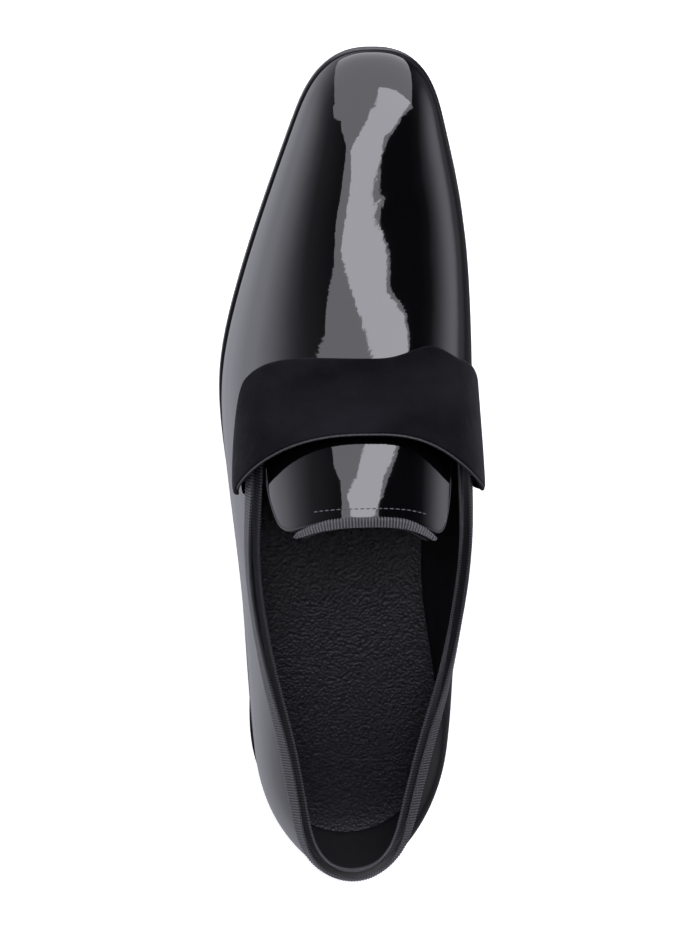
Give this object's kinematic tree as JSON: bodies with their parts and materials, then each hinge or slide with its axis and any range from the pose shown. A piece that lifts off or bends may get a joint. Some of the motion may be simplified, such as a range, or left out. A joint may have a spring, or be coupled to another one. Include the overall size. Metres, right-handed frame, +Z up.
{
  "type": "dress loafer",
  "caption": "Left dress loafer in black patent with a raised tongue, a velvet saddle strap over the vamp, ribbon-bound collar, thin sole and low heel.",
  "frame": {"origin": "middle of the bounding box's bottom face, on the floor that the shoe stands on", "axes": "+Y from the heel to the toe, +X towards the inner side of the foot, +Z up"},
  "size_m": [0.0944, 0.3034, 0.0878],
  "materials": {
    "patent": "mirror-gloss black patent",
    "velvet": "short-pile black velvet",
    "ribbon": "ribbed black ribbon",
    "sock": "matt charcoal with a fine pebble grain",
    "sole": "black sole leather, edge-dressed",
    "rubber": "matt black rubber"
  },
  "bodies": {
    "root": {"outsole": "sole", "heel_block": "sole", "heel_top_lift": "rubber", "insole": "sock", "upper": "patent", "tongue": "patent", "tongue_binding": "ribbon", "topline_binding": "ribbon", "saddle_strap": "velvet"}
  },
  "joints": []
}
